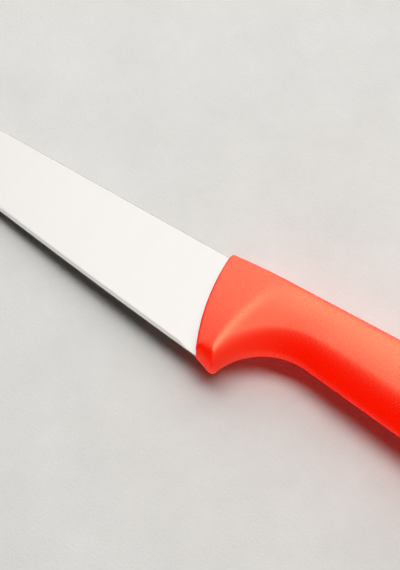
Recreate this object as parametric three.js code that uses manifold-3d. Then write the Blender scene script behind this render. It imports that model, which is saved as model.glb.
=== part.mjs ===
// A meat knife: a flat-ground stainless blade with a hidden tang, and a handle moulded round that tang.
// Millimetres. Each piece is drawn in the knife's own plane: x runs from the tip to the butt and is 0 where
// the spine meets the handle, y runs from the edge to the spine and is 0 on the spine, z is the thickness.
// The finished knife is then laid on its flank, with the tip and the handle touching the table.
import * as THREE from "three";
import { mergeVertices } from "three/addons/utils/BufferGeometryUtils.js";
import Module from "manifold-3d";

// Blade
const BLADE_LENGTH = 175; // tip to handle, along the spine
const HEEL_DEPTH = 36.6; // edge below the spine where the spine meets the handle
const EDGE_ANGLE = 5.63; // degrees between edge and spine there
const EDGE_RADIUS = 3125; // the long sweep of the edge
const BELLY_LENGTH = 60; // stretch before the tip where the edge lifts to the point
const BELLY_POWER = 2.5; // how late the lift comes
const POINT_DROP = 1.5; // tip below the spine
const POINT_LENGTH = 45; // stretch over which the spine drops to the tip
const TIP_LAND = 0.5; // blunt width left at the very tip
const BLADE_THICKNESS = 2;
const EDGE_THICKNESS = 0.8; // steel left where the sharpened bevel starts
const BEVEL_WIDTH = 1.1;
const BEVEL_STOP = 5.5; // heel left unsharpened in front of the handle
const BEVEL_RUNOUT = 6.5; // stretch over which the bevel dies away
const EDGE_LAND = 0.04; // width of the cutting edge itself
const SPINE_EASE = 0.25; // chamfer along the spine
const HEEL_GRIP = 4; // heel held inside the handle, behind its front

// Tang
const TANG_WALL = 4.6; // plastic above and below the tang at the neck
const TANG_TAPER = 3; // how much narrower the tang is at its end
const TANG_END_WALL = 31; // plastic behind the tang
const TANG_CORNER_RADIUS = 4.5;
const TANG_SETBACK = 1.5; // where the tang's full thickness begins, behind the handle's front
const KEY_HOLE_DIAMETER = 7;
const KEY_HOLE_SPACING = 34;
const KEY_HOLE_INSET = 14; // last hole from the end of the tang

// Handle
const HANDLE_LENGTH = 131;
const HANDLE_THICKNESS = 20.6; // across the flanks, before they run over into the belly
const SPINE_RISE = 0.5; // handle above the blade's spine at the front
const BACK_ANGLE = 1.32; // degrees by which the handle's back rises towards the butt
const FRONT_RADIUS = 86.4; // arc of the handle's front edge
const FRONT_CENTRE_RISE = 4.8; // centre of that arc above the spine
const FRONT_CORNER_RADIUS = 1.3;
const FRONT_THICKNESS = 8.4; // across the lip that meets the blade
const FRONT_SLOPE = 0.27; // rise of the front facet per millimetre
const LIP_RADIUS = 0.7;
const GUARD_START = 1.4; // front corner of the finger guard below the heel
const GUARD_CORNER_RADIUS = 0.8;
const GUARD_ANGLE = 18; // degrees by which the guard's underside runs down behind that corner
const GUARD_LENGTH = 6.3; // that corner to the guard's nose
const GUARD_RADIUS = 2.1; // nose of the guard
const NECK_DEPTH = 21.75; // finger recess below the blade's spine
const RECESS_RADIUS = 22.2;
const GRIP_ANGLE = 5.9; // degrees by which the grip's belly runs down towards the butt
const HOOK_RADIUS = 34; // hollow in front of the butt's hook
const HOOK_DROP = 3.4; // hook past the line of the grip's belly
const HOOK_NOSE_RADIUS = 7;
const BUTT_RADIUS = 70;
const BUTT_CENTRE_DEPTH = 14; // centre of that arc below the spine
const BUTT_CORNER_RADIUS = 10;
const DROP_RADIUS = 150; // fall of the handle's back towards the butt
const DROP_LENGTH = 46; // stretch before the butt where the back falls
const BELLY_THICKNESS = 9.3; // across the belly's facet at the outline, before it is rounded
const BELLY_SLOPE = 0.26; // rise of that facet per millimetre
const GUARD_ROUND = 5.5; // depth of the belly's rounding at the guard
const GRIP_ROUND = 10; // and along the grip
const GRIP_CHANGE = 62; // where the first has become the second, behind the front
const BACK_ROUND = 3.6; // depth of the rounding along the back
const BUTT_ROUND = 9; // depth of the rounding round the butt
const PARTING_LAND = 0.04; // least thickness beside the outline
const RIDGE_SHARPNESS = 18; // of the ridge between the front facet and the belly
const CROWN_SHARPNESS = 9; // of the turn from the flank into both
const MOULD_CLEARANCE = 0.3; // between steel and plastic

// Facets
const BLADE_STATIONS = 44;
const SEAT_STATIONS = 6;
const HANDLE_STATIONS = 60;
const SECTION_STEPS = 24;
const CURVE_STEPS = 12;
const PITCH_STEPS = 40; // halvings in the search for the resting pitch
const STEEPEST_PITCH = 45; // degrees, where that search starts
const WELD_DISTANCE = 0.0001; // corners closer than this are one

const { clamp, degToRad, lerp, smoothstep } = THREE.MathUtils;
const point = (x, y) => new THREE.Vector2(x, y);
const unit = (angle) => point(Math.cos(angle), Math.sin(angle));
const heading = (from, to) => Math.atan2(to.y - from.y, to.x - from.x);
const easedStep = (i, steps) => (1 - Math.cos((i / steps) * Math.PI)) / 2;
const wasm = await Module();
wasm.setup();

function solidOf(geometry) {
  const bare = geometry.clone();
  bare.deleteAttribute("normal");
  bare.deleteAttribute("uv");
  const merged = mergeVertices(bare, WELD_DISTANCE);
  const vertProperties = new Float32Array(merged.attributes.position.array);
  const corners = merged.index.array;
  const whole = (i) => new Set(corners.subarray(i - (i % 3), i - (i % 3) + 3)).size === 3;
  const triVerts = new Uint32Array(corners.filter((_, i) => whole(i)));
  return new wasm.Manifold(new wasm.Mesh({ numProp: 3, vertProperties, triVerts }));
}

function geometryOf(solid) {
  const { vertProperties, triVerts } = solid.getMesh();
  const geometry = new THREE.BufferGeometry();
  geometry.setAttribute("position", new THREE.BufferAttribute(new Float32Array(vertProperties), 3));
  geometry.setIndex(new THREE.BufferAttribute(new Uint32Array(triVerts), 1));
  const faceted = geometry.toNonIndexed();
  faceted.computeVertexNormals();
  return faceted;
}

// Closed rings of equal length, one behind the other along x, each running from +y towards +z. A zigzag
// between the two sides of the first and the last ring closes the ends.
function loft(rings) {
  const count = rings[0].length;
  const index = [];
  for (let r = 0; r + 1 < rings.length; r++) {
    for (let i = 0; i < count; i++) {
      const a = r * count + i;
      const b = r * count + ((i + 1) % count);
      index.push(a, b, b + count, a, b + count, a + count);
    }
  }
  const last = (rings.length - 1) * count;
  for (let i = 0; i < count / 2; i++) {
    const near = [i, i + 1, (count - i) % count, count - i - 1];
    const far = near.map((n) => n + last);
    index.push(near[0], near[2], near[1], near[1], near[2], near[3]);
    index.push(far[0], far[1], far[2], far[1], far[3], far[2]);
  }
  const geometry = new THREE.BufferGeometry();
  geometry.setAttribute("position", new THREE.Float32BufferAttribute(rings.flat(2), 3));
  geometry.setIndex(index);
  return solidOf(geometry);
}

// Where two circles cross: the crossing on the left of the way from the first centre to the second.
function crossing(a, radiusA, b, radiusB) {
  const gap = a.distanceTo(b);
  const along = (gap ** 2 + radiusA ** 2 - radiusB ** 2) / (2 * gap);
  const aside = Math.sqrt(radiusA ** 2 - along ** 2);
  const way = b.clone().sub(a).divideScalar(gap);
  return a.clone().addScaledVector(way, along).add(point(-way.y, way.x).multiplyScalar(aside));
}

// The point of a line that lies at a distance from a centre: before the nearest point (-1) or past it (1).
function onLine(start, way, centre, distance, side) {
  const toCentre = centre.clone().sub(start);
  const along = toCentre.dot(way);
  const aside = toCentre.cross(way);
  return start.clone().addScaledVector(way, along + side * Math.sqrt(distance ** 2 - aside ** 2));
}

// The handle's outline in the knife's plane, as paths of arcs that run smoothly into each other: along the
// belly, along the back, and from belly to back across the mouth and across the butt's end.
function handleOutline() {
  const level = unit(0);
  const square = Math.PI / 2;
  const front = point(Math.sqrt(FRONT_RADIUS ** 2 - FRONT_CENTRE_RISE ** 2), FRONT_CENTRE_RISE);
  const butt = point(HANDLE_LENGTH - BUTT_RADIUS, -BUTT_CENTRE_DEPTH);

  const frontX = (y) => front.x - Math.sqrt(FRONT_RADIUS ** 2 - (y - front.y) ** 2);
  const heel = point(frontX(-HEEL_DEPTH - GUARD_START), -HEEL_DEPTH - GUARD_START);
  const guardWay = unit(-degToRad(GUARD_ANGLE));
  const guardTurn = -square - degToRad(GUARD_ANGLE);
  const overGuard = (rise) => heel.clone().addScaledVector(unit(guardTurn), -rise);
  const chinReach = FRONT_RADIUS - GUARD_CORNER_RADIUS;
  const chin = onLine(overGuard(GUARD_CORNER_RADIUS), guardWay, front, chinReach, -1);
  const guard = overGuard(GUARD_RADIUS).addScaledVector(guardWay, GUARD_LENGTH);
  const recessRow = point(0, -NECK_DEPTH - RECESS_RADIUS);
  const recess = onLine(recessRow, level, guard, RECESS_RADIUS + GUARD_RADIUS, 1);

  const gripWay = unit(-degToRad(GRIP_ANGLE));
  const gripTurn = square - degToRad(GRIP_ANGLE);
  const overGrip = (rise) => recess.clone().addScaledVector(unit(gripTurn), RECESS_RADIUS + rise);
  const noseRow = overGrip(HOOK_NOSE_RADIUS - HOOK_DROP);
  const nose = onLine(noseRow, gripWay, butt, BUTT_RADIUS - HOOK_NOSE_RADIUS, 1);
  const hook = onLine(overGrip(-HOOK_RADIUS), gripWay, nose, HOOK_RADIUS + HOOK_NOSE_RADIUS, -1);

  const noseTurn = (heading(nose, hook) + heading(butt, nose)) / 2;

  const belly = new THREE.Path();
  belly.absarc(chin.x, chin.y, GUARD_CORNER_RADIUS, heading(front, chin), guardTurn, false);
  belly.absarc(guard.x, guard.y, GUARD_RADIUS, guardTurn, heading(guard, recess), false);
  belly.absarc(recess.x, recess.y, RECESS_RADIUS, heading(recess, guard), gripTurn, true);
  belly.absarc(hook.x, hook.y, HOOK_RADIUS, gripTurn, heading(hook, nose), true);
  belly.absarc(nose.x, nose.y, HOOK_NOSE_RADIUS, heading(nose, hook), noseTurn, false);

  const backWay = unit(degToRad(BACK_ANGLE));
  const backTurn = square + degToRad(BACK_ANGLE);
  const underBack = (depth) => point(0, SPINE_RISE).addScaledVector(unit(backTurn), -depth);
  const lip = onLine(underBack(FRONT_CORNER_RADIUS), backWay, front, FRONT_RADIUS - FRONT_CORNER_RADIUS, -1);
  const drop = underBack(DROP_RADIUS).addScaledVector(backWay, HANDLE_LENGTH - DROP_LENGTH);
  const corner = crossing(butt, BUTT_RADIUS - BUTT_CORNER_RADIUS, drop, DROP_RADIUS - BUTT_CORNER_RADIUS);

  const cornerTurn = (heading(drop, corner) + heading(butt, corner)) / 2;

  const back = new THREE.Path();
  back.absarc(lip.x, lip.y, FRONT_CORNER_RADIUS, heading(front, lip), backTurn, true);
  back.absarc(drop.x, drop.y, DROP_RADIUS, backTurn, heading(drop, corner), true);
  back.absarc(corner.x, corner.y, BUTT_CORNER_RADIUS, heading(drop, corner), cornerTurn, true);

  const end = new THREE.Path();
  end.absarc(nose.x, nose.y, HOOK_NOSE_RADIUS, noseTurn, heading(butt, nose), false);
  end.absarc(butt.x, butt.y, BUTT_RADIUS, heading(butt, nose), heading(butt, corner), false);
  end.absarc(corner.x, corner.y, BUTT_CORNER_RADIUS, heading(butt, corner), cornerTurn, false);

  const mouth = new THREE.Path();
  mouth.absarc(front.x, front.y, FRONT_RADIUS, heading(front, chin), heading(front, lip), true);
  return { belly, back, mouth, end, front, frontX, heelEnd: heel.x + HEEL_GRIP };
}

const outline = handleOutline();

// The spine, which drops a little to the point.
function spineY(x) {
  const run = Math.max(0, POINT_LENGTH - BLADE_LENGTH - x) / POINT_LENGTH;
  return -POINT_DROP * run ** 2;
}

// The edge: one long sweep, lifted over the belly until it meets the spine at the tip.
function edgeY(x) {
  const sweep = (at) => -HEEL_DEPTH - Math.tan(degToRad(EDGE_ANGLE)) * at + at ** 2 / (2 * EDGE_RADIUS);
  const tipLift = -POINT_DROP - TIP_LAND - sweep(-BLADE_LENGTH);
  const run = Math.max(0, BELLY_LENGTH - BLADE_LENGTH - x) / BELLY_LENGTH;
  return sweep(x) + tipLift * run ** BELLY_POWER;
}

// The blade's section at x, spine first: eased spine, flat flanks, sharpened bevel. A gap of more than 0
// gives the room that the section takes up in the handle.
function bladeSection(x, gap) {
  const spine = spineY(x) + gap;
  const edge = edgeY(x) - gap;
  const width = spine - edge;
  const stop = outline.frontX(-HEEL_DEPTH) - BEVEL_STOP;
  const sharpened = smoothstep(stop - x, 0, BEVEL_RUNOUT);
  const bevel = Math.min(lerp(EDGE_LAND, BEVEL_WIDTH, sharpened), width / 4);
  const grind = (BLADE_THICKNESS - EDGE_THICKNESS) / (HEEL_DEPTH - BEVEL_WIDTH) / 2;
  const ground = (rise) => EDGE_THICKNESS / 2 + grind * (rise - BEVEL_WIDTH);
  const flank = (rise) => Math.min(ground(rise), BLADE_THICKNESS / 2) + gap;
  const shoulder = flank(bevel);
  const land = lerp(flank(0), EDGE_LAND / 2 + gap, sharpened);
  const ease = Math.min(SPINE_EASE, width / 4, shoulder / 2);
  const back = flank(width - ease);
  return [
    [x, spine, ease - back],
    [x, spine, back - ease],
    [x, spine - ease, back],
    [x, edge + bevel, shoulder],
    [x, edge, land],
    [x, edge, -land],
    [x, edge + bevel, -shoulder],
    [x, spine - ease, -back],
  ];
}

function groundBlade(from, gap, stations) {
  const rings = [];
  for (let i = 0; i <= stations; i++) {
    rings.push(bladeSection(lerp(from, outline.heelEnd + gap, easedStep(i, stations)), gap));
  }
  return loft(rings);
}

// The tang: a flat bar inside the handle, with holes that the plastic runs through.
function tang(gap) {
  const end = HANDLE_LENGTH - TANG_END_WALL;
  const top = SPINE_RISE - TANG_WALL;
  const bottom = TANG_WALL - NECK_DEPTH;
  const root = outline.frontX(bottom) + TANG_SETBACK - gap;
  const endTop = top - TANG_TAPER / 2 + gap;
  const endBottom = bottom + TANG_TAPER / 2 - gap;
  const corner = TANG_CORNER_RADIUS + gap;
  const bar = new THREE.Shape();
  bar.moveTo(root, bottom - gap);
  bar.lineTo(end + gap - corner, endBottom);
  bar.absarc(end + gap - corner, endBottom + corner, corner, -Math.PI / 2, 0, false);
  bar.absarc(end + gap - corner, endTop - corner, corner, 0, Math.PI / 2, false);
  bar.lineTo(root, top + gap);
  for (const spaces of [0, 1]) {
    const hole = new THREE.Path();
    const x = end - KEY_HOLE_INSET - spaces * KEY_HOLE_SPACING;
    hole.absarc(x, (top + bottom) / 2, KEY_HOLE_DIAMETER / 2 - gap, 0, 2 * Math.PI, true);
    bar.holes.push(hole);
  }
  const depth = BLADE_THICKNESS + 2 * gap;
  const plate = new THREE.ExtrudeGeometry(bar, { depth, bevelEnabled: false, curveSegments: CURVE_STEPS });
  return solidOf(plate.translate(0, 0, -depth / 2));
}

// The point of a path of arcs and straight lines that lies nearest to a place.
function nearest(path, place) {
  let best = path.getPoint(0);
  for (const curve of path.curves) {
    const start = curve.getPoint(0);
    const end = curve.getPoint(1);
    const feet = [start, end];
    if (curve.isLineCurve) {
      const way = end.clone().sub(start);
      const share = place.clone().sub(start).dot(way) / way.lengthSq();
      feet.push(start.clone().addScaledVector(way, clamp(share, 0, 1)));
    } else {
      const centre = point(curve.aX, curve.aY);
      const reach = place.clone().sub(centre);
      const middle = curve.getPoint(0.5).sub(centre);
      const span = start.clone().sub(centre).angleTo(middle);
      if (reach.angleTo(middle) <= span) feet.push(reach.setLength(curve.xRadius).add(centre));
    }
    for (const foot of feet) {
      if (foot.distanceTo(place) < best.distanceTo(place)) best = foot;
    }
  }
  return best;
}

// Rounding of an edge: 0 on the outline, 1 from the given depth inwards.
function rounding(distance, depth) {
  const left = 1 - clamp(distance / depth, 0, 1);
  return Math.sqrt(1 - left ** 2);
}

// The smaller of two heights, with a soft turn from one to the other.
function softMinimum(a, b, sharpness) {
  return (a ** -sharpness + b ** -sharpness) ** (-1 / sharpness);
}

// Half the handle's thickness over a point of its plane. The flank is flat, and rounded along the back and
// the butt. It turns softly into two facets, one that thins towards the belly and one towards the blade,
// and these two meet along a ridge.
function handleHeight(place) {
  const { belly, back, end, front } = outline;
  const from = (path) => nearest(path, place).distanceTo(place);
  const roundedFlank = Math.min(rounding(from(back), BACK_ROUND), rounding(from(end), BUTT_ROUND));
  const flank = (HANDLE_THICKNESS / 2) * roundedFlank;
  const onBelly = nearest(belly, place);
  const fromBelly = onBelly.distanceTo(place);
  const bellyDepth = lerp(GUARD_ROUND, GRIP_ROUND, smoothstep(onBelly.x, 0, GRIP_CHANGE));
  const bellyFacet = (BELLY_THICKNESS / 2) * rounding(fromBelly, bellyDepth) + BELLY_SLOPE * fromBelly;
  const fromFront = Math.max(0, FRONT_RADIUS - place.distanceTo(front));
  const lip = LIP_RADIUS * (rounding(fromFront, LIP_RADIUS) - 1);
  const frontFacet = FRONT_THICKNESS / 2 + lip + FRONT_SLOPE * fromFront;
  const facets = softMinimum(frontFacet, bellyFacet, RIDGE_SHARPNESS);
  return Math.max(PARTING_LAND / 2, softMinimum(flank, facets, CROWN_SHARPNESS));
}

// A place on the handle's plane: s runs from the mouth to the butt, t from the belly to the back, and the
// four edges of the outline are met exactly.
function handlePlace(s, t) {
  const { belly, back, mouth, end } = outline;
  const lengthwise = belly.getPoint(s).lerp(back.getPoint(s), t);
  const crosswise = mouth.getPoint(t).lerp(end.getPoint(t), s);
  const nearCorners = mouth.getPoint(0).lerp(mouth.getPoint(1), t);
  const farCorners = end.getPoint(0).lerp(end.getPoint(1), t);
  return lengthwise.add(crosswise).sub(nearCorners.lerp(farCorners, s));
}

function handleSkin() {
  const rings = [];
  for (let i = 0; i <= HANDLE_STATIONS; i++) {
    const under = [];
    for (let j = 0; j <= SECTION_STEPS; j++) {
      const place = handlePlace(easedStep(i, HANDLE_STATIONS), easedStep(j, SECTION_STEPS));
      const onEdge = j === 0 || j === SECTION_STEPS || i === HANDLE_STATIONS;
      under.push([place.x, place.y, onEdge ? 0 : -handleHeight(place)]);
    }
    const inner = under.slice(1, -1).reverse();
    rings.push([...under, ...inner.map(([x, y, z]) => [x, y, -z])]);
  }
  return loft(rings);
}

const blade = new THREE.Mesh(
  geometryOf(groundBlade(-BLADE_LENGTH, 0, BLADE_STATIONS).add(tang(0))),
  new THREE.MeshStandardMaterial({ color: 0xd9d6cf, metalness: 1, roughness: 0.3 }),
);
blade.name = "blade";

const seat = groundBlade(-outline.heelEnd, MOULD_CLEARANCE, SEAT_STATIONS).add(tang(MOULD_CLEARANCE));
const handle = new THREE.Mesh(
  geometryOf(handleSkin().subtract(seat)),
  new THREE.MeshStandardMaterial({ color: 0xf03a1c, metalness: 0, roughness: 0.45 }),
);
handle.name = "handle";

// How far a mesh reaches down once the knife is pitched, tip down, by an angle.
function lowest(mesh, pitch) {
  const { array } = mesh.geometry.attributes.position;
  let low = Infinity;
  for (let i = 0; i < array.length; i += 3) {
    low = Math.min(low, array[i] * Math.sin(pitch) + array[i + 2] * Math.cos(pitch));
  }
  return low;
}

// The pitch at which the blade and the handle touch the table together.
function restingPitch() {
  let level = 0;
  let steep = degToRad(STEEPEST_PITCH);
  for (let i = 0; i < PITCH_STEPS; i++) {
    const pitch = (level + steep) / 2;
    if (lowest(blade, pitch) > lowest(handle, pitch)) level = pitch;
    else steep = pitch;
  }
  return level;
}

const lying = new THREE.Group();
lying.rotation.y = -restingPitch();
lying.add(blade, handle);

const knife = new THREE.Group();
knife.add(lying);
const box = new THREE.Box3().setFromObject(knife, true);
const middle = box.getCenter(new THREE.Vector3());
lying.position.set(-middle.x, -middle.y, -box.min.z);

export default knife;
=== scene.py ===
# %% [markdown]
# # A meat knife with a moulded handle
#
# The knife lies on its flank on a pale table. It has two pieces: a long steel blade, ground flat from
# spine to edge, and a red plastic handle that was moulded round the blade's tang. This notebook makes
# both at their real size, gives them their finishes, and lights them softly.
#
# The imported model comes first, because it fixes where everything goes. Its pieces are kept in the scene,
# hidden.

# %% Load the frame
import math

import bmesh
import bpy
import numpy as np
from mathutils import Matrix, Vector


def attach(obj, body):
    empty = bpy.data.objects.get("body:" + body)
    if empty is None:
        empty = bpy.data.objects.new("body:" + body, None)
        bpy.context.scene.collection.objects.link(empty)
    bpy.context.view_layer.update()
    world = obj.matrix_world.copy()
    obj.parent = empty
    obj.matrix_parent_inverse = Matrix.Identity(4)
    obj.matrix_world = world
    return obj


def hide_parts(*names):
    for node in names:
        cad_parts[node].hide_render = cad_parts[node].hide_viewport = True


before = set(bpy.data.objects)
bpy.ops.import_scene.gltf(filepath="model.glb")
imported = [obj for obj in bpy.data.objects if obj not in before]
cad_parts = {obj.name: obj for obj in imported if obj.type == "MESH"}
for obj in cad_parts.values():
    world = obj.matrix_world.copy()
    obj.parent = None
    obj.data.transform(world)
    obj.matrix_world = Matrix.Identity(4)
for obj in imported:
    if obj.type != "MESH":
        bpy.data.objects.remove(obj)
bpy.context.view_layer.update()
scene = bpy.context.scene
scene.view_settings.view_transform = "Standard"
MM = 0.001  # the knife is drawn in millimetres, and the scene is in metres


# %% [markdown]
# ## Drawing in the knife's own plane
#
# A knife is designed flat, as a side view, so that is how the points are written here: x runs from the
# tip to the butt and is 0 where the spine meets the handle, y runs from the edge to the spine and is 0
# on the spine. One complex number holds both, x + y·1j. Turning is then a multiplication, a distance is
# abs(), and numpy does thousands of points at once. All of it is in millimetres until the end.

# %% Helpers for lines and arcs
def unit(angle):
    return np.exp(1j * angle)


def heading(start, end):
    return np.angle(end - start)


def on_line(start, way, centre, distance, side):
    """The point of a line at a distance from a centre: before its nearest point (-1) or past it (1)."""
    there = (centre - start) * np.conj(way)
    return start + way * (there.real + side * math.sqrt(distance**2 - there.imag**2))


def smoothstep(value, low, high):
    share = np.clip((value - low) / (high - low), 0, 1)
    return share * share * (3 - 2 * share)


def mix(a, b, share):
    return a + (b - a) * share


def eased(steps):
    """Shares from 0 to 1 that crowd at both ends, where the shapes turn fastest."""
    return (1 - np.cos(np.linspace(0, np.pi, steps + 1))) / 2


# %% [markdown]
# ## The handle's outline
#
# Seen from the side, the handle is a chain of arcs and lines that run smoothly into each other, as a
# pattern maker would draw it: a long arc across the front, the slanted underside and tight nose of the
# finger guard, the hollow for the first finger, the straight belly of the grip, a hook at the butt, and
# a nearly straight back. A free-hand Bezier curve would also do, but arcs keep every size measurable.
# Each centre is worked out from its neighbours, so that the arcs always touch.

# %% Handle sizes
HEEL_DEPTH = 36.6
HANDLE_LENGTH, HANDLE_THICKNESS = 131, 20.6
SPINE_RISE, BACK_ANGLE = 0.5, math.radians(1.32)
FRONT_RADIUS, FRONT_CENTRE_RISE, FRONT_CORNER_RADIUS = 86.4, 4.8, 1.3
GUARD_START, GUARD_CORNER_RADIUS, GUARD_ANGLE = 1.4, 0.8, math.radians(18)
GUARD_LENGTH, GUARD_RADIUS = 6.3, 2.1
NECK_DEPTH, RECESS_RADIUS, GRIP_ANGLE = 21.75, 22.2, math.radians(5.9)
HOOK_RADIUS, HOOK_DROP, HOOK_NOSE_RADIUS = 34, 3.4, 7
BUTT_RADIUS, BUTT_CENTRE_DEPTH, BUTT_CORNER_RADIUS = 70, 14, 10
DROP_RADIUS, DROP_LENGTH = 150, 46
print("handle is", HANDLE_LENGTH, "mm long")

# %% Centres of the arcs
front = math.sqrt(FRONT_RADIUS**2 - FRONT_CENTRE_RISE**2) + FRONT_CENTRE_RISE * 1j
butt = HANDLE_LENGTH - BUTT_RADIUS - BUTT_CENTRE_DEPTH * 1j

heel_y = -HEEL_DEPTH - GUARD_START
heel = front.real - math.sqrt(FRONT_RADIUS**2 - (heel_y - front.imag) ** 2) + heel_y * 1j
guard_way, guard_turn = unit(-GUARD_ANGLE), -math.pi / 2 - GUARD_ANGLE
chin_row = heel - unit(guard_turn) * GUARD_CORNER_RADIUS
chin = on_line(chin_row, guard_way, front, FRONT_RADIUS - GUARD_CORNER_RADIUS, -1)
guard = heel - unit(guard_turn) * GUARD_RADIUS + guard_way * GUARD_LENGTH
recess = on_line(-(NECK_DEPTH + RECESS_RADIUS) * 1j, 1, guard, RECESS_RADIUS + GUARD_RADIUS, 1)

grip_way, grip_turn = unit(-GRIP_ANGLE), math.pi / 2 - GRIP_ANGLE
nose_row = recess + unit(grip_turn) * (RECESS_RADIUS + HOOK_NOSE_RADIUS - HOOK_DROP)
nose = on_line(nose_row, grip_way, butt, BUTT_RADIUS - HOOK_NOSE_RADIUS, 1)
hook_row = recess + unit(grip_turn) * (RECESS_RADIUS - HOOK_RADIUS)
hook = on_line(hook_row, grip_way, nose, HOOK_RADIUS + HOOK_NOSE_RADIUS, -1)
nose_turn = (heading(nose, hook) + heading(butt, nose)) / 2

back_way, back_turn = unit(BACK_ANGLE), math.pi / 2 + BACK_ANGLE
lip_row = SPINE_RISE * 1j - unit(back_turn) * FRONT_CORNER_RADIUS
lip = on_line(lip_row, back_way, front, FRONT_RADIUS - FRONT_CORNER_RADIUS, -1)
drop = SPINE_RISE * 1j - unit(back_turn) * DROP_RADIUS + back_way * (HANDLE_LENGTH - DROP_LENGTH)
reach, inner, outer = abs(drop - butt), BUTT_RADIUS - BUTT_CORNER_RADIUS, DROP_RADIUS - BUTT_CORNER_RADIUS
along = (reach**2 + inner**2 - outer**2) / (2 * reach)
corner = butt + unit(heading(butt, drop)) * (along + 1j * math.sqrt(inner**2 - along**2))
corner_turn = (heading(drop, corner) + heading(butt, corner)) / 2
print("guard", np.round(guard, 1), "hook's nose", np.round(nose, 1), "back corner", np.round(corner, 1))


# %% Paths of arcs, with straight lines where two arcs don't meet
SAME_POINT = 1e-9  # points closer than this count as one


def path(*arcs):
    """Each arc is (centre, radius, first angle, last angle)."""
    steps, reached = [], None
    for arc in arcs:
        centre, radius, first, last = arc
        start = centre + radius * unit(first)
        if steps and abs(start - reached) > SAME_POINT:
            steps.append((reached, start))
        steps.append(arc)
        reached = centre + radius * unit(last)
    return steps


def walk(steps, shares):
    """Points of a path at shares of its length."""
    lengths = [abs(s[1] - s[0]) if len(s) == 2 else s[1] * abs(s[3] - s[2]) for s in steps]
    ends = np.cumsum(lengths)
    which = np.minimum(np.searchsorted(ends, shares * ends[-1] - SAME_POINT), len(steps) - 1)
    points = np.zeros(len(shares), complex)
    for i, step in enumerate(steps):
        on = which == i
        share = (shares[on] * ends[-1] - ends[i] + lengths[i]) / lengths[i]
        points[on] = mix(*step, share) if len(step) == 2 else step[0] + step[1] * unit(mix(*step[2:], share))
    return points


# %% The four sides of the outline
belly = path(
    (chin, GUARD_CORNER_RADIUS, heading(front, chin), guard_turn),
    (guard, GUARD_RADIUS, guard_turn, heading(guard, recess)),
    (recess, RECESS_RADIUS, heading(recess, guard), grip_turn),
    (hook, HOOK_RADIUS, grip_turn, heading(hook, nose)),
    (nose, HOOK_NOSE_RADIUS, heading(nose, hook), nose_turn),
)
back = path(
    (lip, FRONT_CORNER_RADIUS, heading(front, lip) % math.tau, back_turn),
    (drop, DROP_RADIUS, back_turn, heading(drop, corner)),
    (corner, BUTT_CORNER_RADIUS, heading(drop, corner), corner_turn),
)
mouth = path((front, FRONT_RADIUS, heading(front, chin) % math.tau, heading(front, lip) % math.tau))
end = path(
    (nose, HOOK_NOSE_RADIUS, nose_turn, heading(butt, nose)),
    (butt, BUTT_RADIUS, heading(butt, nose), heading(butt, corner)),
    (corner, BUTT_CORNER_RADIUS, heading(butt, corner), corner_turn),
)
print("outline made of", sum(map(len, (belly, back, mouth, end))), "arcs and lines")

# %% [markdown]
# ## The handle's surface
#
# Over each point inside the outline, the plastic has a half thickness, and three simple surfaces give
# it. The flank is flat, and rounded off towards the back and the butt. The belly facet climbs from the
# round under the fingers, and the front facet climbs from the mouth that holds the blade. Where the
# facets meet there is a soft ridge, the most telling form of this handle: it runs in a curve from the
# guard up to the back. It could be drawn edge by edge and bevelled. Here the smallest of the three
# heights is taken at every point, with a soft turn from one to the next, and the ridge comes by itself.

# %% Nearest points, roundings and soft turns
LEAST_HEIGHT = 1e-3  # keeps the soft minimum from dividing by 0


def nearest(steps, places):
    """The points of a path that lie nearest to places."""
    best = np.full(places.shape, np.inf + 0j)
    for step in steps:
        if len(step) == 2:
            way = step[1] - step[0]
            share = ((places - step[0]) * np.conj(way)).real / abs(way) ** 2
            feet = step[0] + way * np.clip(share, 0, 1)
        else:
            centre, radius, first, last = step
            middle, span = (first + last) / 2, abs(last - first) / 2
            turn = np.clip(np.angle((places - centre) * unit(-middle)), -span, span)
            feet = centre + radius * unit(middle + turn)
        best = np.where(abs(feet - places) < abs(best - places), feet, best)
    return best


def rounding(distance, depth):
    return np.sqrt(1 - (1 - np.clip(distance / depth, 0, 1)) ** 2)


def soft_minimum(a, b, sharpness):
    """The smaller of two heights, with a soft turn from one to the other."""
    a, b = np.maximum(a, LEAST_HEIGHT), np.maximum(b, LEAST_HEIGHT)
    return (a**-sharpness + b**-sharpness) ** (-1 / sharpness)


# %% Half thickness at a point
FRONT_THICKNESS, FRONT_SLOPE, LIP_RADIUS = 8.4, 0.27, 0.7
BELLY_THICKNESS, BELLY_SLOPE = 9.3, 0.26
GUARD_ROUND, GRIP_ROUND, GRIP_CHANGE = 5.5, 10, 62
BACK_ROUND, BUTT_ROUND, PARTING_LAND = 3.6, 9, 0.04
RIDGE_SHARPNESS, CROWN_SHARPNESS = 18, 9


def front_facet(places):
    from_front = np.maximum(FRONT_RADIUS - abs(places - front), 0)
    lip_round = LIP_RADIUS * (rounding(from_front, LIP_RADIUS) - 1)
    return FRONT_THICKNESS / 2 + lip_round + FRONT_SLOPE * from_front


def belly_facet(places):
    on_belly = nearest(belly, places)
    from_belly = abs(on_belly - places)
    depth = mix(GUARD_ROUND, GRIP_ROUND, smoothstep(on_belly.real, 0, GRIP_CHANGE))
    return BELLY_THICKNESS / 2 * rounding(from_belly, depth) + BELLY_SLOPE * from_belly


def flank(places):
    from_back, from_end = (abs(nearest(steps, places) - places) for steps in (back, end))
    return HANDLE_THICKNESS / 2 * np.minimum(rounding(from_back, BACK_ROUND), rounding(from_end, BUTT_ROUND))


def handle_height(places):
    facets = soft_minimum(front_facet(places), belly_facet(places), RIDGE_SHARPNESS)
    return np.maximum(soft_minimum(flank(places), facets, CROWN_SHARPNESS), PARTING_LAND / 2)


print("half thickness over the guard, mm:", handle_height(np.array([guard])).round(2))

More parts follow.
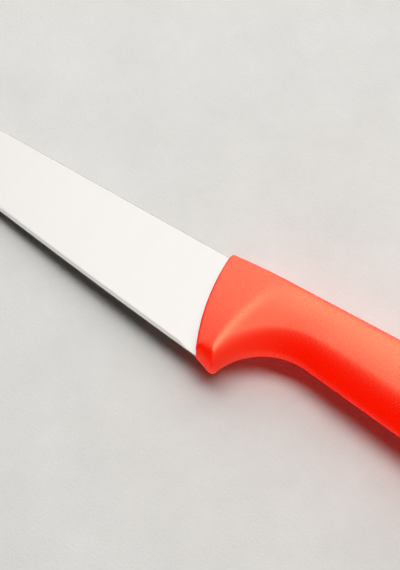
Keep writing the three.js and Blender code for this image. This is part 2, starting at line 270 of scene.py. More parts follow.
# %% A grid over the outline, raised to both sides
HANDLE_STATIONS, HANDLE_ROWS = 260, 110


def handle_grid():
    s, t = eased(HANDLE_STATIONS)[:, None], eased(HANDLE_ROWS)[None, :]
    low, high = walk(belly, s[:, 0])[:, None], walk(back, s[:, 0])[:, None]
    near, far = walk(mouth, t[0])[None, :], walk(end, t[0])[None, :]
    corners = mix(mix(near[:, :1], near[:, -1:], t), mix(far[:, :1], far[:, -1:], t), s)
    places = mix(low, high, t) + mix(near, far, s) - corners
    heights = handle_height(places)
    heights[:, 0] = heights[:, -1] = heights[-1] = 0
    return places, heights


places, heights = handle_grid()
print("handle grid", places.shape, "thickest half, mm:", heights.max().round(2))


# %% Make the handle's mesh
def closed_mesh(name, rings):
    """Joins closed rings of points one behind the other, and closes both ends across their two sides."""
    count = rings.shape[1]
    mesh = bpy.data.meshes.new(name)
    here = np.arange(len(rings) - 1)[:, None] * count + np.arange(count)[None, :]
    beside = np.roll(here, -1, axis=1)
    sides = np.stack([here, beside, beside + count, here + count], axis=-1).reshape(-1, 4)
    i = np.arange(count // 2)
    cap = np.stack([i, (count - i) % count, (count - i - 1) % count, i + 1], axis=-1)
    caps = np.concatenate([cap, cap[:, ::-1] + (len(rings) - 1) * count])
    faces = [list(dict.fromkeys(face)) for face in np.concatenate([sides, caps]).tolist()]
    mesh.from_pydata(rings.reshape(-1, 3), [], [face for face in faces if len(face) > 2])
    return mesh


under = np.stack([places.real, places.imag, -heights], axis=-1)
over = under[:, -2:0:-1] * [1, 1, -1]
handle_mesh = closed_mesh("handle", np.concatenate([under, over], axis=1))
print("handle mesh:", len(handle_mesh.vertices), "vertices")

# %% [markdown]
# ## The blade, by Geometry Nodes
#
# A ground blade follows one rule: at every station its section is a slim wedge between the spine and the
# edge. The two lines are given as guide curves, with a point at each station, and the tree lays the
# same eight-cornered section between them. That way the edge's curve can be redrawn and the grind follows.
# First come the two lines: a spine that drops a little to the point, and an edge that sweeps up to it.

# %% Spine and edge
BLADE_LENGTH = 175
EDGE_ANGLE, EDGE_SWEEP = math.radians(5.63), 3125
BELLY_LENGTH, BELLY_POWER = 60, 2.5
POINT_DROP, POINT_LENGTH, TIP_LAND = 1.5, 45, 0.5
BLADE_STATIONS, HEEL_GRIP = 160, 4


def spine_y(x):
    return -POINT_DROP * (np.maximum(0, POINT_LENGTH - BLADE_LENGTH - x) / POINT_LENGTH) ** 2


def sweep_y(x):
    return -HEEL_DEPTH - math.tan(EDGE_ANGLE) * x + x**2 / (2 * EDGE_SWEEP)


def edge_y(x):
    lift = -POINT_DROP - TIP_LAND - sweep_y(-BLADE_LENGTH)
    return sweep_y(x) + lift * (np.maximum(0, BELLY_LENGTH - BLADE_LENGTH - x) / BELLY_LENGTH) ** BELLY_POWER


station_x = mix(-BLADE_LENGTH, heel.real + HEEL_GRIP, eased(BLADE_STATIONS))
print("blade is", round(float(max(spine_y(station_x) - edge_y(station_x))), 1), "mm deep at its deepest")


# %% Both lines as guide curves
def placed(name, data):
    """Puts a new object into the scene."""
    made = bpy.data.objects.new(name, data)
    scene.collection.objects.link(made)
    return made


def add_line(curve, points):
    """Adds a line through flat points to a curve."""
    line = curve.splines.new("POLY")
    line.points.add(len(points) - 1)
    flat = points.real * 0
    line.points.foreach_set("co", np.stack([points.real, points.imag, flat, flat + 1], axis=-1).ravel())
    return line


guides = []
for name, line_y in (("spine_guide", spine_y), ("edge_guide", edge_y)):
    curve = bpy.data.curves.new(name, "CURVE")
    curve.dimensions = "3D"
    add_line(curve, station_x + line_y(station_x) * 1j)
    guides.append(placed(name, curve))
spine_guide, edge_guide = guides
print("guides have", len(station_x), "points each")


# %% [markdown]
# One small function adds a node to any tree, sets its values and links its inputs. Both the blade's tree
# and the materials further down are written with it.

# %% Adding a node
def add(tree, kind, inputs=None, **settings):
    made = tree.nodes.new(kind)
    for name, value in settings.items():
        setattr(made, name, value)
    for key, value in (inputs or {}).items():
        if isinstance(value, bpy.types.NodeSocket):
            tree.links.new(value, made.inputs[key])
        else:
            made.inputs[key].default_value = value
    return made


# %% [markdown]
# The tree starts from a plain grid with one row of vertices for each station. Each row is bent into the
# wedge's outline: across the spine with its corners eased, down one flank, over the sharpened bevel to
# the cutting edge, and back up. Three Index Switch nodes hold those corners: their height above the
# edge, their half thickness, and which flank they are on. In front of the handle the bevel dies away, as
# it does where a grinding belt is lifted off.

# %% Named inputs of the blade's tree
BLADE_THICKNESS, EDGE_THICKNESS, BEVEL_WIDTH, EDGE_LAND = 2.0, 0.8, 1.1, 0.04
BEVEL_STOP, BEVEL_RUNOUT, SPINE_EASE = 2.2, 6.5, 0.25
TIP_SHARE = 0.25  # near the tip, the bevel and the eased corners take at most this share of the width
heel_front = front.real - math.sqrt(FRONT_RADIUS**2 - (HEEL_DEPTH + front.imag) ** 2)
blade_inputs = {
    "Spine": spine_guide,
    "Edge": edge_guide,
    "Stations": BLADE_STATIONS + 1,
    "Blade Thickness": BLADE_THICKNESS,
    "Edge Thickness": EDGE_THICKNESS,
    "Grind Slope": (BLADE_THICKNESS - EDGE_THICKNESS) / (HEEL_DEPTH - BEVEL_WIDTH) / 2,
    "Bevel Width": BEVEL_WIDTH,
    "Bevel End": float(heel_front - BEVEL_STOP),
    "Bevel Runout": BEVEL_RUNOUT,
    "Edge Land": EDGE_LAND,
    "Spine Ease": SPINE_EASE,
}
tree = bpy.data.node_groups.new("Flat-ground blade", "GeometryNodeTree")
tree.interface.new_socket("Geometry", in_out="OUTPUT", socket_type="NodeSocketGeometry")
kinds = {float: "NodeSocketFloat", int: "NodeSocketInt", bpy.types.Object: "NodeSocketObject"}
identifiers = {}
for name, value in blade_inputs.items():
    socket = tree.interface.new_socket(name, in_out="INPUT", socket_type=kinds[type(value)])
    identifiers[name] = socket.identifier
given = add(tree, "NodeGroupInput").outputs
print("tree inputs:", ", ".join(identifiers))

# %% Which station and which corner each vertex is
CORNERS = 9  # the eight corners of the wedge, and the first one again to close the ring
index = add(tree, "GeometryNodeInputIndex").outputs[0]
station = add(tree, "FunctionNodeIntegerMath", {0: index, 1: CORNERS}, operation="DIVIDE_FLOOR").outputs[0]
corner_no = add(tree, "FunctionNodeIntegerMath", {0: index, 1: CORNERS}, operation="MODULO").outputs[0]
position = add(tree, "GeometryNodeInputPosition").outputs[0]
line_points = {}
for name in ("Spine", "Edge"):
    line = add(tree, "GeometryNodeObjectInfo", {"Object": given[name]}).outputs["Geometry"]
    at_station = {"Geometry": line, "Index": station}
    there = add(tree, "GeometryNodeSampleIndex", at_station, data_type="FLOAT_VECTOR")
    tree.links.new(position, there.inputs["Value"])
    line_points[name] = add(tree, "ShaderNodeSeparateXYZ", {0: there.outputs[0]}).outputs
x, edge_line, spine_line = line_points["Edge"]["X"], line_points["Edge"]["Y"], line_points["Spine"]["Y"]
print("each station has", CORNERS, "vertices")

# %% The wedge's sizes at a station
MATH = "ShaderNodeMath"
width = add(tree, MATH, {0: spine_line, 1: edge_line}, operation="SUBTRACT").outputs[0]
before_end = add(tree, MATH, {0: given["Bevel End"], 1: x}, operation="SUBTRACT").outputs[0]
runout = {"Value": before_end, "From Max": given["Bevel Runout"]}
sharpened = add(tree, "ShaderNodeMapRange", runout, interpolation_type="SMOOTHSTEP").outputs[0]
full_bevel = {"Value": sharpened, "To Min": given["Edge Land"], "To Max": given["Bevel Width"]}
wanted_bevel = add(tree, "ShaderNodeMapRange", full_bevel).outputs[0]
most = add(tree, MATH, {0: width, 1: TIP_SHARE}, operation="MULTIPLY").outputs[0]
bevel = add(tree, MATH, {0: wanted_bevel, 1: most}, operation="MINIMUM").outputs[0]
ease = add(tree, MATH, {0: given["Spine Ease"], 1: most}, operation="MINIMUM").outputs[0]
below_ease = add(tree, MATH, {0: width, 1: ease}, operation="SUBTRACT").outputs[0]
print("tree has", len(tree.nodes), "nodes so far")

# %% Half thicknesses: the flank rises from the bevel's shoulder at the grind's slope
half_edge = add(tree, MATH, {0: given["Edge Thickness"], 1: 0.5}, operation="MULTIPLY").outputs[0]
half_blade = add(tree, MATH, {0: given["Blade Thickness"], 1: 0.5}, operation="MULTIPLY").outputs[0]
half_land = add(tree, MATH, {0: given["Edge Land"], 1: 0.5}, operation="MULTIPLY").outputs[0]
ground = {}
for name, rise in {"back": below_ease, "shoulder": bevel, "foot": 0.0}.items():
    past_bevel = add(tree, MATH, {0: rise, 1: given["Bevel Width"]}, operation="SUBTRACT").outputs[0]
    slope = {0: past_bevel, 1: given["Grind Slope"], 2: half_edge}
    half = add(tree, MATH, slope, operation="MULTIPLY_ADD").outputs[0]
    ground[name] = add(tree, MATH, {0: half, 1: half_blade}, operation="MINIMUM").outputs[0]
half_ease = add(tree, MATH, {0: ground["back"], 1: 0.5}, operation="MULTIPLY").outputs[0]
top_ease = add(tree, MATH, {0: ease, 1: half_ease}, operation="MINIMUM").outputs[0]
top = add(tree, MATH, {0: ground["back"], 1: top_ease}, operation="SUBTRACT").outputs[0]
landing = {"Value": sharpened, "To Min": ground["foot"], "To Max": half_land}
land = add(tree, "ShaderNodeMapRange", landing).outputs[0]
print("half thicknesses:", ", ".join(ground), "and the land at the edge")

# %% The corners in order: across the spine, down the upper flank, over the edge and up the lower one
back_half, shoulder_half = ground["back"], ground["shoulder"]
heights_in_order = [width, width, below_ease, bevel, 0.0, 0.0, bevel, below_ease, width]
halves_in_order = [top, top, back_half, shoulder_half, land, land, shoulder_half, back_half, top]
sides_in_order = [-1.0, 1.0, 1.0, 1.0, 1.0, -1.0, -1.0, -1.0, -1.0]
switches = []
for items in (heights_in_order, halves_in_order, sides_in_order):
    switch = add(tree, "GeometryNodeIndexSwitch", {"Index": corner_no}, data_type="FLOAT")
    for i, item in enumerate(items):
        if i > 1:  # a new switch has two items
            switch.index_switch_items.new()
        if isinstance(item, float):
            switch.inputs[i + 1].default_value = item
        else:
            tree.links.new(item, switch.inputs[i + 1])
    switches.append(switch.outputs[0])
rise, half, side = switches
print("switches have", len(sides_in_order), "corners each")

# %% Flat ends, and the finished mesh
WELD = 0.0005  # points closer than this, in millimetres, become one
y = add(tree, MATH, {0: edge_line, 1: rise}, operation="ADD").outputs[0]
z = add(tree, MATH, {0: half, 1: side}, operation="MULTIPLY").outputs[0]
last = add(tree, MATH, {0: given["Stations"], 1: 1.0}, operation="SUBTRACT").outputs[0]
first_row = add(tree, "FunctionNodeCompare", {"A": station, "B": 0}, data_type="INT", operation="EQUAL")
last_row = add(tree, "FunctionNodeCompare", {"A": station, "B": last}, data_type="INT", operation="EQUAL")
ends = {0: first_row.outputs[0], 1: last_row.outputs[0]}
at_end = add(tree, "FunctionNodeBooleanMath", ends, operation="OR").outputs[0]
closed_z = add(tree, "GeometryNodeSwitch", {0: at_end, 1: z, 2: 0.0}, input_type="FLOAT").outputs[0]
place = add(tree, "ShaderNodeCombineXYZ", {0: x, 1: y, 2: closed_z}).outputs[0]
grid = add(tree, "GeometryNodeMeshGrid", {"Vertices X": given["Stations"], "Vertices Y": CORNERS}).outputs[0]
bent = add(tree, "GeometryNodeSetPosition", {"Geometry": grid, "Position": place}).outputs[0]
welded = add(tree, "GeometryNodeMergeByDistance", {"Geometry": bent, "Distance": WELD}).outputs[0]
realized = add(tree, "GeometryNodeRealizeInstances", {0: welded}).outputs[0]
print("tree has", len(tree.nodes), "nodes so far")


# %% [markdown]
# ## Steel: ground stainless
#
# The blade is a hard martensitic stainless steel, finished on a fine belt. Metal takes its colour from
# its reflections, so the base colour is a light warm grey, and the belt shows only as a very fine grain
# that runs from spine to edge. The sharpened bevel was cut by a coarser stone: it is rougher and has
# clear cross lines, and its base colour is painted lighter, a painted highlight for the brighter light
# the bevel mirrors. Attributes of the mesh carry the millimetres along the blade and above its edge, and
# how far up the bevel a point is, so the patterns follow the blade however it lies.

# %% Colours are written as sRGB hex
def hex_colour(text):
    shares = [int(text[i : i + 2], 16) / 255 for i in (1, 3, 5)]
    return [s / 12.92 if s <= 0.04045 else ((s + 0.055) / 1.055) ** 2.4 for s in shares] + [1]


print("#808080 is", round(hex_colour("#808080")[0], 3), "in linear light")

# %% Stainless steel, belt ground
BELT_LINE, BELT_LENGTH = 0.35, 40  # real belt lines are nearer 0.02 mm wide, drawn coarser to show
STONE_LINE, STONE_LENGTH = 0.45, 9  # real stone lines are nearer 0.1 mm wide, drawn coarser to show
LINE_DEPTH = 4  # the lines change slowly through the steel, over about these millimetres
steel = bpy.data.materials.new("stainless_steel_belt_ground")
steel.use_nodes = True
nodes = steel.node_tree
surface = nodes.nodes["Principled BSDF"]
surface.inputs["Metallic"].default_value = 1
ground_at = add(nodes, "ShaderNodeAttribute", attribute_name="ground_at").outputs["Vector"]
belt_scale = {0: ground_at, 1: (1 / BELT_LINE, 1 / BELT_LENGTH, 1 / LINE_DEPTH)}
belt_at = add(nodes, "ShaderNodeVectorMath", belt_scale, operation="MULTIPLY").outputs[0]
belt = add(nodes, "ShaderNodeTexNoise", {"Vector": belt_at, "Scale": 1.0, "Detail": 3.0}).outputs[0]
stone_scale = {0: ground_at, 1: (1 / STONE_LINE, 1 / STONE_LENGTH, 1 / LINE_DEPTH)}
stone_at = add(nodes, "ShaderNodeVectorMath", stone_scale, operation="MULTIPLY").outputs[0]
stone = add(nodes, "ShaderNodeTexNoise", {"Vector": stone_at, "Scale": 1.0, "Detail": 2.0}).outputs[0]
print(steel.name, "has two line patterns")

# %% Finish of the flank and of the bevel
bevel_share = add(nodes, "ShaderNodeAttribute", attribute_name="bevel_share").outputs["Fac"]
on_bevel = {"Value": bevel_share, "From Min": 1.02, "From Max": 0.98}  # the bevel ends at a share of 1
bevel_mask = add(nodes, "ShaderNodeMapRange", on_bevel).outputs[0]
belt_rough = add(nodes, "ShaderNodeMapRange", {"Value": belt, "To Min": 0.44, "To Max": 0.52}).outputs[0]
stone_rough = add(nodes, "ShaderNodeMapRange", {"Value": stone, "To Min": 0.5, "To Max": 0.75}).outputs[0]
roughness = add(nodes, "ShaderNodeMix", {0: bevel_mask, 2: belt_rough, 3: stone_rough}).outputs[0]
relief = add(nodes, "ShaderNodeMix", {0: bevel_mask, 2: belt, 3: stone}).outputs[0]
bump = {"Height": relief, "Strength": 0.12, "Distance": 0.02 * MM}
# The bevel's lighter grey is a painted highlight: the same steel, made lighter where it mirrors more light.
steel_colours_with_painted_bevel_highlight = {0: bevel_mask, 6: hex_colour("#a3a09d"), 7: hex_colour("#cfcdc9")}
shade = add(nodes, "ShaderNodeMix", steel_colours_with_painted_bevel_highlight, data_type="RGBA").outputs[2]
nodes.links.new(shade, surface.inputs["Base Color"])
nodes.links.new(roughness, surface.inputs["Roughness"])
nodes.links.new(add(nodes, "ShaderNodeBump", bump).outputs[0], surface.inputs["Normal"])
print(steel.name, "has", len(nodes.nodes), "nodes")


# %% Run the tree and keep the result as a plain mesh
def evaluated_mesh(made):
    """The mesh of an object as its modifiers leave it."""
    return bpy.data.meshes.new_from_object(made.evaluated_get(bpy.context.evaluated_depsgraph_get()))


finished = add(tree, "GeometryNodeSetMaterial", {"Geometry": realized, "Material": steel}).outputs[0]
add(tree, "NodeGroupOutput", {0: finished})
host = placed("blade_host", bpy.data.meshes.new("blade_host"))
modifier = host.modifiers.new("Flat-ground blade", "NODES")
modifier.node_group = tree
for name, value in blade_inputs.items():
    modifier[identifiers[name]] = value
blade_mesh = evaluated_mesh(host)
blade_mesh.name = "blade"
for spent in (host, spine_guide, edge_guide):
    bpy.data.objects.remove(spent)
print("blade mesh:", len(blade_mesh.vertices), "vertices,", len(blade_mesh.polygons), "faces")

# %% [markdown]
# ## The tang
#
# Inside the handle the blade goes on as a flat bar with two holes, which the plastic runs through. A
# flat plate with holes is just what a filled 2D curve makes: one spline for the outline, one for each
# hole, and an extrusion for the thickness. A Boolean modifier then joins it to the heel.

# %% Tang as a filled curve
TANG_WALL, TANG_TAPER, TANG_END_WALL, TANG_SETBACK = 4.6, 3, 31, 1.5
TANG_CORNER_RADIUS, KEY_HOLE_DIAMETER, KEY_HOLE_SPACING, KEY_HOLE_INSET = 4.5, 7, 34, 14
TANG_POINTS, HOLE_POINTS = 40, 48
tang_top, tang_bottom = SPINE_RISE - TANG_WALL, TANG_WALL - NECK_DEPTH
tang_end = HANDLE_LENGTH - TANG_END_WALL
tang_root = front.real - math.sqrt(FRONT_RADIUS**2 - (tang_bottom - front.imag) ** 2) + TANG_SETBACK
turn_x = tang_end - TANG_CORNER_RADIUS
low_turn = turn_x + (tang_bottom + TANG_TAPER / 2 + TANG_CORNER_RADIUS) * 1j
high_turn = turn_x + (tang_top - TANG_TAPER / 2 - TANG_CORNER_RADIUS) * 1j
tang_corners = path(
    (low_turn, TANG_CORNER_RADIUS, -math.pi / 2, 0), (high_turn, TANG_CORNER_RADIUS, 0, math.pi / 2)
)
tang_rear = walk(tang_corners, np.linspace(0, 1, TANG_POINTS))
tang_outline = np.concatenate([[tang_root + tang_bottom * 1j], tang_rear, [tang_root + tang_top * 1j]])
around = unit(np.linspace(0, math.tau, HOLE_POINTS, endpoint=False)) * KEY_HOLE_DIAMETER / 2
last_hole = tang_end - KEY_HOLE_INSET + (tang_top + tang_bottom) / 2 * 1j
tang_curve = bpy.data.curves.new("tang", "CURVE")
tang_curve.dimensions, tang_curve.fill_mode, tang_curve.extrude = "2D", "BOTH", BLADE_THICKNESS / 2
for outline in (tang_outline, last_hole + around, last_hole - KEY_HOLE_SPACING + around):
    add_line(tang_curve, outline).use_cyclic_u = True
print("tang reaches", tang_end, "mm into the handle")


# %% Join and cut with Boolean modifiers
def with_boolean(base, other, operation):
    """The mesh of base with other added or cut away."""
    boolean = base.modifiers.new(operation, "BOOLEAN")
    boolean.operation, boolean.solver, boolean.object = operation, "MANIFOLD", other
    result = evaluated_mesh(base)
    base.modifiers.remove(boolean)
    return result


def welded_mesh(mesh, swell=0):
    """Merges double points, turns the faces outwards, and may let the mesh swell by a distance."""
    shape = bmesh.new()
    shape.from_mesh(mesh)
    bmesh.ops.remove_doubles(shape, verts=shape.verts, dist=WELD)
    bmesh.ops.recalc_face_normals(shape, faces=shape.faces)
    shape.normal_update()
    for point in shape.verts:
        point.co += point.normal * swell
    shape.to_mesh(mesh)
    shape.free()
    return mesh


tang_flat = placed("tang_flat", tang_curve)
tang = placed("tang", welded_mesh(evaluated_mesh(tang_flat)))
ground_blade = placed("ground_blade", welded_mesh(blade_mesh))
blade_mesh = welded_mesh(with_boolean(ground_blade, tang, "UNION"))
print("blade with tang:", len(blade_mesh.vertices), "vertices")

# %% [markdown]
# The plastic shrinks tight onto the steel, and only a hair line shows where they meet. The same blade,
# swollen by that hair line, is cut out of the handle.

# %% Seat of the blade in the handle
HAIR_LINE = 0.06
cutter = placed("cutter", welded_mesh(blade_mesh.copy(), swell=HAIR_LINE))
whole_handle = placed("whole_handle", welded_mesh(handle_mesh))
handle_mesh = with_boolean(whole_handle, cutter, "DIFFERENCE")
for spent in (tang_flat, tang, ground_blade, cutter, whole_handle):
    bpy.data.objects.remove(spent)
print("handle with its seat:", len(handle_mesh.vertices), "vertices")

# %% [markdown]
# ## Laying the knife down
#
# On a table the knife touches at two places, the point of the blade and the widest part of the handle,
# so it lies with its tip a little down. The pitch at which both touch is found by halving: too flat, and
# the blade hangs in the air; too steep, and the handle does.

# %% Resting pitch
STEEPEST, HALVINGS = math.radians(45), 40


def points_of(mesh):
    points = np.zeros(len(mesh.vertices) * 3)
    mesh.vertices.foreach_get("co", points)
    return points.reshape(-1, 3)


def lowest(points, pitch):
    return (points[:, 0] * math.sin(pitch) + points[:, 2] * math.cos(pitch)).min()


blade_points, handle_points = points_of(blade_mesh), points_of(handle_mesh)
level, steep = 0.0, STEEPEST
for _ in range(HALVINGS):
    pitch = (level + steep) / 2
    blade_hangs = lowest(blade_points, pitch) > lowest(handle_points, pitch)
    level, steep = (pitch, steep) if blade_hangs else (level, pitch)
print("pitch", round(math.degrees(pitch), 2), "degrees")

# %% Turned, moved to the middle of the frame, and in metres
turned = Matrix.Rotation(-pitch, 4, "Y")
lying = np.concatenate([blade_points, handle_points]) @ np.array(turned.to_3x3()).T
low, high = lying.min(axis=0), lying.max(axis=0)
shift = Matrix.Translation((-(low[0] + high[0]) / 2, -(low[1] + high[1]) / 2, -low[2]))
lay_down = Matrix.Scale(MM, 4) @ shift @ turned
print("size, mm:", (high - low).round(1))


# %% [markdown]
# Before the meshes are laid down, each keeps what its finish needs to know: the blade how far every
# point is along the edge and above it, and how many times the bevel's width that is; the handle whether
# a point is on the textured grip or on the smoother front, how near it is to the finger recess, and
# whether it is on the belly behind that.

# %% What the steel needs to know
def keep(mesh, name, values):
    """Stores a number or a vector for each point of a mesh."""
    kind, field = ("FLOAT_VECTOR", "vector") if values.ndim == 2 else ("FLOAT", "value")
    mesh.attributes.new(name, kind, "POINT").data.foreach_set(field, values.ravel())


on_blade = blade_points[:, 0]
above_edge = blade_points[:, 1] - edge_y(on_blade)
keep(blade_mesh, "ground_at", np.stack([on_blade, above_edge, blade_points[:, 2]], axis=-1))
sharpened_there = smoothstep(heel_front - BEVEL_STOP - on_blade, 0, BEVEL_RUNOUT)
most_there = (spine_y(on_blade) - edge_y(on_blade)) * TIP_SHARE
bevel_there = np.minimum(mix(EDGE_LAND, BEVEL_WIDTH, sharpened_there), most_there)
keep(blade_mesh, "bevel_share", above_edge / bevel_there)
print("bevel is up to", bevel_there.max().round(2), "mm wide")

# %% What the plastic needs to know
FRONT_FADE = 0, 1.5  # how far below the front facet the smooth front turns into the grip
RECESS_FADE = 15, 35  # where the finger recess runs out into the grip
BELLY_START, BELLY_REACH = (22, 46), (2, 8)  # where the rubbed belly begins, and how far up it fades
flat_places = handle_points[:, 0] + handle_points[:, 1] * 1j
grip_share = smoothstep(front_facet(flat_places) - handle_height(flat_places), *FRONT_FADE)
keep(handle_mesh, "grip_share", grip_share)
keep(handle_mesh, "recess_share", 1 - smoothstep(flat_places.real, *RECESS_FADE))
from_belly = abs(nearest(belly, flat_places) - flat_places)
rubbed_share = smoothstep(flat_places.real, *BELLY_START) * (1 - smoothstep(from_belly, *BELLY_REACH))
keep(handle_mesh, "rubbed_share", rubbed_share)
print("share of the handle that is grip:", grip_share.mean().round(2))

# %% [markdown]
# ## Plastic: moulded polypropylene
#
# The handle is polypropylene, coloured right through and shot into a steel mould. The mould was spark
# eroded along the grip, which leaves a fine even grain that keeps the hand from slipping and spreads the
# highlight, most of all in the finger recess; towards the blade it was polished smoother. Along the belly
# the seam of the mould was rubbed down, which took most of the gloss away. The colour is a strong red,
# and pigment close under the skin warms the gloss, so the highlight has an orange tint.

# %% Polypropylene, injection moulded
CLOUD = 18  # slow unevenness of the colour, in millimetres
plastic = bpy.data.materials.new("polypropylene_injection_moulded")
plastic.use_nodes = True
nodes = plastic.node_tree
surface = nodes.nodes["Principled BSDF"]
surface.inputs["IOR"].default_value = 1.6
surface.inputs["Specular Tint"].default_value = (1.0, 0.92, 0.5, 1)
where = add(nodes, "ShaderNodeTexCoord").outputs["Object"]
cloud_at = {"Vector": where, "Scale": 1 / (CLOUD * MM), "Detail": 2.0}
cloud = add(nodes, "ShaderNodeTexNoise", cloud_at).outputs[0]
reds = {0: cloud, 6: hex_colour("#ff1201"), 7: hex_colour("#fd1802")}
colour = add(nodes, "ShaderNodeMix", reds, data_type="RGBA").outputs[2]
nodes.links.new(colour, surface.inputs["Base Color"])
print(plastic.name, "has its colour")

# %% Grain and gloss of the plastic
GRAIN = 0.55  # real spark-eroded grain is nearer 0.1 mm, drawn coarser so that it shows
on_grip, in_recess, rubbed = (
    add(nodes, "ShaderNodeAttribute", attribute_name=name).outputs["Fac"]
    for name in ("grip_share", "recess_share", "rubbed_share")
)
grain_at = {"Vector": where, "Scale": 1 / (GRAIN * MM), "Detail": 2.0}
grain = add(nodes, "ShaderNodeTexNoise", grain_at).outputs[0]
grain_depth = add(nodes, "ShaderNodeMapRange", {"Value": on_grip, "To Min": 0.15, "To Max": 1.0}).outputs[0]
relief = add(nodes, "ShaderNodeMath", {0: grain, 1: grain_depth}, operation="MULTIPLY").outputs[0]
bump = {"Height": relief, "Strength": 0.28, "Distance": 0.06 * MM}
recess_range = {"Value": in_recess, "To Min": 0.27, "To Max": 0.42}
spark_rough = add(nodes, "ShaderNodeMapRange", recess_range).outputs[0]
grip_range = {"Value": on_grip, "To Min": 0.26, "To Max": spark_rough}
grip_rough = add(nodes, "ShaderNodeMapRange", grip_range).outputs[0]
grain_rough = add(nodes, "ShaderNodeMapRange", {"Value": grain, "To Min": -0.04, "To Max": 0.04}).outputs[0]
roughness = add(nodes, "ShaderNodeMath", {0: grip_rough, 1: grain_rough}, operation="ADD").outputs[0]
gloss = add(nodes, "ShaderNodeMapRange", {"Value": rubbed, "To Min": 0.68, "To Max": 0.15}).outputs[0]
nodes.links.new(gloss, surface.inputs["Specular IOR Level"])
nodes.links.new(roughness, surface.inputs["Roughness"])
nodes.links.new(add(nodes, "ShaderNodeBump", bump).outputs[0], surface.inputs["Normal"])
print(plastic.name, "has", len(nodes.nodes), "nodes")

# %% [markdown]
# ## Into the frame
#
# Both meshes are now laid down, shaded smooth with their real creases kept sharp, and tied to the frame:
# each stands for its CAD node, which it hides, and rides on the one body there is.

# %% Finished pieces
BLADE_CREASE, HANDLE_CREASE = math.radians(6), math.radians(40)  # what turns more than this stays sharp
for name, mesh, finish, crease, slot in (
    ("blade", blade_mesh, steel, BLADE_CREASE, "steel"),
    ("handle", handle_mesh, plastic, HANDLE_CREASE, "plastic"),
):
    mesh.transform(lay_down)
    mesh.shade_smooth()
    mesh.set_sharp_from_angle(angle=crease)
    mesh.materials.clear()
    mesh.materials.append(finish)
    made = placed("knife_" + name, mesh)
    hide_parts(name)
    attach(made, "root")
    print(made.name, "has", sum(len(face.vertices) - 2 for face in mesh.polygons), "triangles")

# %% [markdown]
# ## Table: pale stone
#
# The knife lies on honed stone, pale and matt, with cloudy patches and very fine pits. Noise at two
# sizes makes both, the patches in the colour and the pits as a bump. Further off, the table turns into
# the plain background for the camera alone, so that no horizon shows and the shadow stays.

# %% Pale stone, honed
PATCH, PIT = 35, 0.9  # size of the cloudy patches and of the fine pits, in millimetres
stone_top = bpy.data.materials.new("pale_stone_honed")
stone_top.use_nodes = True
nodes = stone_top.node_tree
surface = nodes.nodes["Principled BSDF"]
surface.inputs["Roughness"].default_value = 0.75
surface.inputs["Specular IOR Level"].default_value = 0.25
where = add(nodes, "ShaderNodeTexCoord").outputs["Object"]
cloud_at = {"Vector": where, "Scale": 1 / (PATCH * MM), "Detail": 9.0, "Roughness": 0.74}
cloud = add(nodes, "ShaderNodeTexNoise", cloud_at).outputs[0]
patches = {"Value": cloud, "From Min": 0.3, "From Max": 0.7}
shade = add(nodes, "ShaderNodeMapRange", patches).outputs[0]
greys = {0: shade, 6: hex_colour("#d2d0cc"), 7: hex_colour("#dcdad6")}
colour = add(nodes, "ShaderNodeMix", greys, data_type="RGBA").outputs[2]
pits_at = {"Vector": where, "Scale": 1 / (PIT * MM), "Detail": 3.0}
pits = add(nodes, "ShaderNodeTexNoise", pits_at).outputs[0]
bump = {"Height": pits, "Strength": 0.5, "Distance": 0.3 * MM}
nodes.links.new(colour, surface.inputs["Base Color"])
nodes.links.new(add(nodes, "ShaderNodeBump", bump).outputs[0], surface.inputs["Normal"])
print(stone_top.name, "has", len(nodes.nodes), "nodes")

# %% Table top, fading into the background
BACKGROUND = 0.8  # brightness, where 1 is white
TABLE_HALF, FADE_START, FADE_END = 3, 0.35, 1.1  # metres
far_off = add(nodes, "ShaderNodeVectorMath", {0: where}, operation="LENGTH").outputs["Value"]
fade = {"Value": far_off, "From Min": FADE_START, "From Max": FADE_END}
faded = add(nodes, "ShaderNodeMapRange", fade, interpolation_type="SMOOTHSTEP").outputs[0]
camera_ray = add(nodes, "ShaderNodeLightPath").outputs["Is Camera Ray"]
share = add(nodes, "ShaderNodeMath", {0: faded, 1: camera_ray}, operation="MULTIPLY").outputs[0]
haze = add(nodes, "ShaderNodeEmission", {"Color": (BACKGROUND, BACKGROUND, BACKGROUND, 1)}).outputs[0]
seen = add(nodes, "ShaderNodeMixShader", {0: share, 1: surface.outputs[0], 2: haze}).outputs[0]
nodes.links.new(seen, nodes.nodes["Material Output"].inputs["Surface"])
table_mesh = bpy.data.meshes.new("table")
table_corners = [(TABLE_HALF * x, TABLE_HALF * y, 0) for x, y in ((-1, -1), (1, -1), (1, 1), (-1, 1))]
table_mesh.from_pydata(table_corners, [], [(0, 1, 2, 3)])
table_mesh.materials.append(stone_top)
placed("table", table_mesh)
print("table is", 2 * TABLE_HALF, "m wide")

# %% [markdown]
# ## Camera
#
# The camera looks down steeply, from in front and a little to the right, through a long lens that keeps
# the knife's lines nearly straight. Two angles, a distance and the point it looks at place it. The
# lens follows from the focal length in pixels, because the picture is 570 pixels high.

# %% Camera
AZIMUTH, ELEVATION = math.radians(34.5133), math.radians(60.4)
FOCAL_PIXELS, IMAGE_HEIGHT = 1621.01, 570
DISTANCE = 0.55  # metres
target = Vector((0.0190625, 0.0037794, 0.01))  # the middle of the picture, in metres


def towards(azimuth, elevation):
    """The way a view with that azimuth and elevation looks."""
    flat = math.cos(elevation)
    return Vector((-math.sin(azimuth) * flat, math.cos(azimuth) * flat, -math.sin(elevation)))


lens = bpy.data.cameras.new("camera")
lens.lens = lens.sensor_width * FOCAL_PIXELS / IMAGE_HEIGHT
camera = placed("camera", lens)
camera.location = target - towards(AZIMUTH, ELEVATION) * DISTANCE
camera.rotation_euler = towards(AZIMUTH, ELEVATION).to_track_quat("-Z", "Y").to_euler()
scene.camera = camera
print("lens", round(lens.lens, 1), "mm")

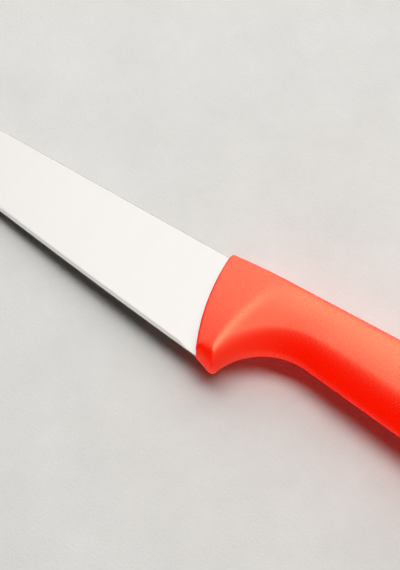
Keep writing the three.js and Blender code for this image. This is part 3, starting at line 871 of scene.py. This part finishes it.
# %% [markdown]
# ## Light: three soft panels
#
# Steel and gloss show what they mirror, so the lights are placed by their reflections. A high panel
# behind the knife lies in the crown of the handle, and a low one in the flat of the blade. A long thin
# strip in front lights the belly of the handle, which would otherwise be dull. It stands so low that it
# hardly lights the table, and the shadow under the edge stays dark; it is kept out of the gloss, where it
# would draw a line. Strengths are given as brightness, where 1 is white, because a mirrored panel then
# shows how bright it will look; the lamp's watts follow from that and its area.

# %% Panels
PANEL_DISTANCE = 2.5  # metres, as the panels' widths and heights are


def panel(name, azimuth, elevation, width, height, brightness):
    """A soft panel that faces the knife. Azimuth 0 is the far side of it, 90 the camera's right."""
    lamp = bpy.data.lights.new(name, "AREA")
    lamp.shape, lamp.size, lamp.size_y = "RECTANGLE", width, height
    lamp.energy = brightness * math.pi * width * height
    made = placed(name, lamp)
    way = -towards(AZIMUTH + math.pi - math.radians(azimuth), math.radians(elevation))
    made.location = target + way * PANEL_DISTANCE
    made.rotation_euler = (-way).to_track_quat("-Z", "Y").to_euler()
    return made


high_panel = panel("high_panel", azimuth=24, elevation=75, width=3.25, height=1.2, brightness=4.6)
low_panel = panel("low_panel", azimuth=5, elevation=33, width=3.25, height=2.0, brightness=2.6)
front_strip = panel("front_strip", azimuth=200, elevation=0.8, width=6.0, height=0.07, brightness=56)
front_strip.visible_glossy = False
lamps = (high_panel, low_panel, front_strip)
print("lamps, W:", [(lamp.name, round(lamp.data.energy)) for lamp in lamps])

# %% [markdown]
# The room itself is dim. In the gloss its walls show, dark on the left and pale on the right, which
# gives the round of the handle its gradient. The camera sees a plain pale background.

# %% Room
FILL, WALL_TURN = 0.01, 0.75  # light from all round, and how far the walls turn from dark to pale
world = bpy.data.worlds.new("studio")
scene.world = world
world.use_nodes = True
nodes = world.node_tree
light_path = add(nodes, "ShaderNodeLightPath").outputs
way = add(nodes, "ShaderNodeTexCoord").outputs["Generated"]
right = {0: way, 1: (math.cos(AZIMUTH), math.sin(AZIMUTH), 0)}
to_right = add(nodes, "ShaderNodeVectorMath", right, operation="DOT_PRODUCT").outputs["Value"]
walls = {"Value": to_right, "From Min": -WALL_TURN, "From Max": WALL_TURN, "To Max": BACKGROUND}
mirrored = add(nodes, "ShaderNodeMapRange", walls).outputs[0]
unseen = add(nodes, "ShaderNodeMix", {0: light_path["Is Glossy Ray"], 2: FILL, 3: mirrored}).outputs[0]
seen = add(nodes, "ShaderNodeMix", {0: light_path["Is Camera Ray"], 2: unseen, 3: BACKGROUND}).outputs[0]
nodes.links.new(seen, nodes.nodes["Background"].inputs["Color"])
print("room has", len(nodes.nodes), "nodes")
